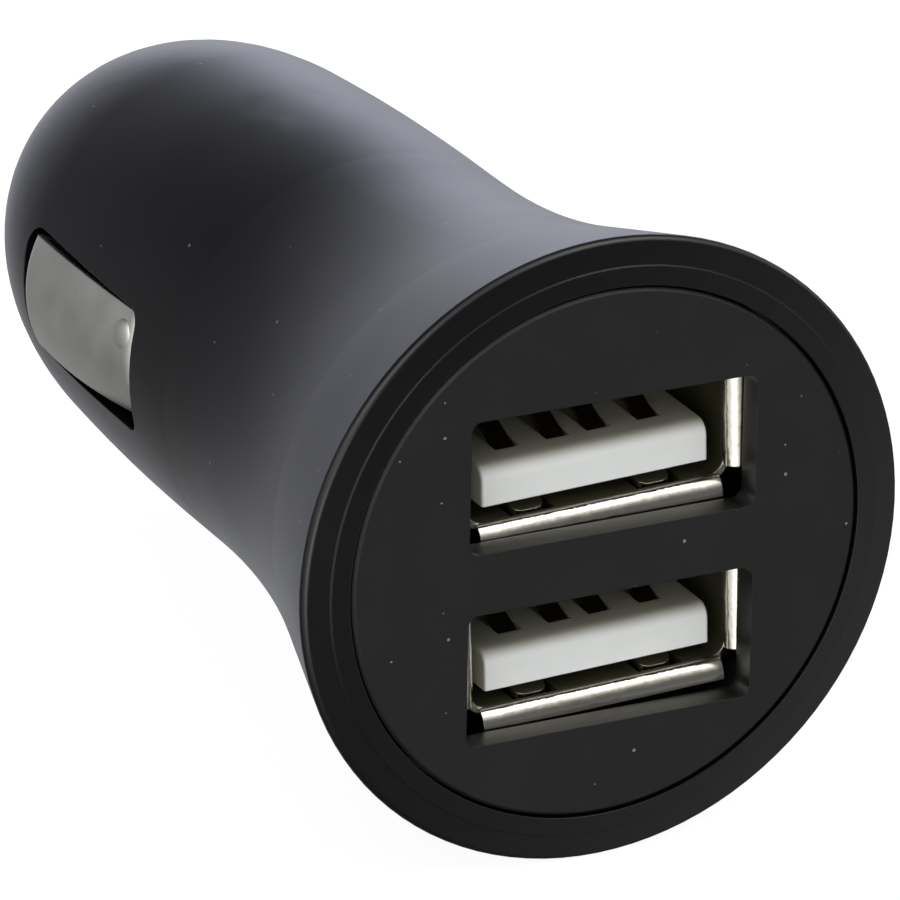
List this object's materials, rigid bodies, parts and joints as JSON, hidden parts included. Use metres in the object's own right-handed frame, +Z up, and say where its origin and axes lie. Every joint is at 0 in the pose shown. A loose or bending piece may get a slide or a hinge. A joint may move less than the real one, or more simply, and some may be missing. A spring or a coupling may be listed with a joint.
{
  "type": "car usb charger plug",
  "caption": "Black trumpet-shaped car power plug with stacked USB-A sockets in its round face, sprung side contacts on the barrel and a sprung tip in the nose.",
  "frame": {"origin": "centre of the round front face, on the plug's axis", "axes": "+Y along the plug from the face to the nose, +X to the right seen from the face, +Z up"},
  "size_m": [0.0292, 0.0552, 0.0292],
  "materials": {
    "satin_black_plastic": "satin moulded",
    "matte_black_plastic": "fine matte texture",
    "nickel_plated_steel": "bright nickel plate",
    "satin_nickel_steel": "satin nickel plate",
    "white_nylon": "moulded",
    "gold_flashed_bronze": "gold flash",
    "green_laminate": "solder mask",
    "spring_steel": "drawn",
    "tinned_brass": "tinned",
    "ferrite": "matte",
    "can_aluminium": "drawn",
    "chip_epoxy": "moulded",
    "chip_ceramic": "fired"
  },
  "bodies": {
    "housing": {"body_shell": "satin_black_plastic", "front_plate": "matte_black_plastic", "upper_port_shell": "nickel_plated_steel", "lower_port_shell": "nickel_plated_steel", "upper_port_insulator": "white_nylon", "lower_port_insulator": "white_nylon", "upper_port_contacts": "gold_flashed_bronze", "lower_port_contacts": "gold_flashed_bronze", "port_board": "green_laminate", "power_board": "green_laminate", "left_ground_spring": "spring_steel", "right_ground_spring": "spring_steel", "tip_spring": "spring_steel", "spring_seat": "tinned_brass", "power_inductor": "ferrite", "input_capacitor": "can_aluminium", "output_capacitor": "can_aluminium", "converter_chip": "chip_epoxy", "port_control_chip": "chip_epoxy", "schottky_diode": "chip_epoxy", "chip_resistors": "chip_epoxy", "ceramic_capacitors": "chip_ceramic"},
    "tip": {"tip_contact": "satin_nickel_steel"},
    "left_contact": {"left_ground_contact": "satin_nickel_steel"},
    "right_contact": {"right_ground_contact": "satin_nickel_steel"}
  },
  "joints": [
    {"name": "tip_press", "type": "slide", "parent": "housing", "child": "tip", "axis": [0, -1, 0], "range_m": [0, 0.002], "stiffness_N_per_m": 1500, "springref_m": -0.002, "deforming": ["tip_spring"]},
    {"name": "left_contact_press", "type": "hinge", "parent": "housing", "child": "left_contact", "pos_m": [-0.00725, 0.0413, 0], "axis": [0, 0, 1], "range_deg": [0, 6], "stiffness_Nm_per_rad": 0.2, "springref_deg": -2.86, "deforming": ["left_ground_spring"]},
    {"name": "right_contact_press", "type": "hinge", "parent": "housing", "child": "right_contact", "pos_m": [0.00725, 0.0413, 0], "axis": [0, 0, -1], "range_deg": [0, 6], "stiffness_Nm_per_rad": 0.2, "springref_deg": -2.86, "deforming": ["right_ground_spring"]}
  ]
}
